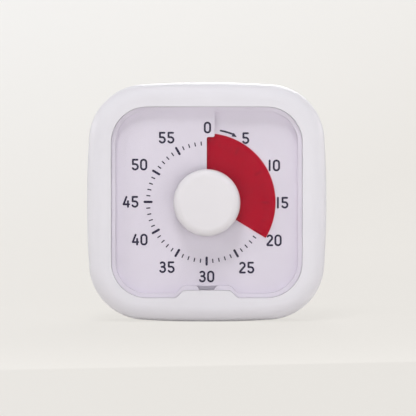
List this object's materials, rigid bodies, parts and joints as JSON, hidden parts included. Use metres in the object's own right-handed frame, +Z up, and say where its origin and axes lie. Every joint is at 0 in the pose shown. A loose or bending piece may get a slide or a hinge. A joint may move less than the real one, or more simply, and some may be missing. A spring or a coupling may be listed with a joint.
{
  "type": "visual countdown timer",
  "caption": "Square countdown timer with rounded corners: a central knob winds a red disc through a helical slit in a numbered dial under a clear cover.",
  "frame": {"origin": "under the middle of the case, on the surface it stands on", "axes": "+Z up, the dial faces -Y, +X to the viewer's right"},
  "size_m": [0.14, 0.045, 0.1397],
  "materials": {
    "front_plastic": "satin moulded",
    "rear_plastic": "fine spark texture",
    "screw_steel": "zinc plated",
    "clear_plastic": "clear polished acrylic",
    "dial_plastic": "printed card-like matt",
    "red_film": "slightly translucent film",
    "light_plastic": "moulded",
    "knob_plastic": "satin moulded",
    "steel": "turned",
    "brass": "rolled",
    "dark_plastic": "moulded",
    "wheel_plastic": "unfilled acetal",
    "magnet": "ferrite",
    "copper": "enamelled copper wire",
    "board": "solder mask",
    "black_plastic": "moulded",
    "cell_jacket": "plain printed sleeve",
    "nickel": "nickel plated"
  },
  "bodies": {
    "case": {"front_housing": "front_plastic", "rear_housing": "rear_plastic", "housing_screws": "screw_steel", "lens": "clear_plastic", "dial_plate": "dial_plastic", "movement_base": "dark_plastic", "movement_cover": "dark_plastic", "movement_screws": "screw_steel", "stator": "steel", "coil_bobbin": "light_plastic", "coil_winding": "copper", "circuit_board": "board", "chip": "black_plastic", "quartz_crystal": "steel", "alarm_contact": "brass", "buzzer": "black_plastic", "battery_cell": "cell_jacket", "battery_spring": "nickel", "battery_plate": "nickel", "magnets": "magnet", "switch_body": "black_plastic", "stand_pin": "steel"},
    "setting": {"knob": "knob_plastic", "spindle": "steel", "alarm_cam": "light_plastic", "clutch_spring": "brass", "retaining_clip": "steel"},
    "time_disc": {"time_film": "red_film", "disc_hub": "light_plastic"},
    "rotor_body": {"rotor": "magnet"},
    "middle_body": {"middle_wheel": "wheel_plastic"},
    "second_body": {"second_wheel": "wheel_plastic"},
    "third_body": {"third_wheel": "wheel_plastic"},
    "centre_body": {"centre_wheel": "wheel_plastic"},
    "leg": {"stand_leg": "rear_plastic"},
    "door": {"battery_door": "rear_plastic"},
    "volume": {"switch_slider": "black_plastic"}
  },
  "joints": [
    {"name": "knob_turn", "type": "hinge", "parent": "case", "child": "setting", "pos_m": [0, -0.0075, 0.0697], "axis": [0, 1, 0], "range_deg": [-120, 240]},
    {"name": "disc_lift", "type": "slide", "parent": "setting", "child": "time_disc", "axis": [0, -1, 0], "range_m": [-0.00075, 0.0015]},
    {"name": "rotor_spin", "type": "hinge", "parent": "case", "child": "rotor_body", "pos_m": [-0.00245, 0.0065, 0.08879], "axis": [0, 1, 0], "continuous": true},
    {"name": "middle_spin", "type": "hinge", "parent": "case", "child": "middle_body", "pos_m": [-0.00923, 0.0065, 0.082], "axis": [0, 1, 0], "continuous": true},
    {"name": "second_spin", "type": "hinge", "parent": "case", "child": "second_body", "pos_m": [-0.01483, 0.0065, 0.0723], "axis": [0, 1, 0], "continuous": true},
    {"name": "third_spin", "type": "hinge", "parent": "case", "child": "third_body", "pos_m": [-0.01018, 0.0065, 0.05952], "axis": [0, 1, 0], "continuous": true},
    {"name": "centre_spin", "type": "hinge", "parent": "case", "child": "centre_body", "pos_m": [0, 0.0065, 0.0697], "axis": [0, 1, 0], "continuous": true},
    {"name": "leg_swing", "type": "hinge", "parent": "case", "child": "leg", "pos_m": [0, 0.0202, 0.0617], "axis": [1, 0, 0], "range_deg": [0, 50]},
    {"name": "door_swing", "type": "hinge", "parent": "case", "child": "door", "pos_m": [0, 0.0211, 0.1184], "axis": [1, 0, 0], "range_deg": [0, 75]},
    {"name": "volume_slide", "type": "slide", "parent": "case", "child": "volume", "axis": [1, 0, 0], "range_m": [-0.003, 0.003]}
  ],
  "couplings": [
    {"joint": "disc_lift", "follows": "knob_turn", "m_per_rad": 0.00035014},
    {"joint": "middle_spin", "follows": "rotor_spin", "ratio": -0.2},
    {"joint": "second_spin", "follows": "rotor_spin", "ratio": 0.033333},
    {"joint": "third_spin", "follows": "rotor_spin", "ratio": -0.0044444},
    {"joint": "centre_spin", "follows": "rotor_spin", "ratio": 0.00055556}
  ]
}
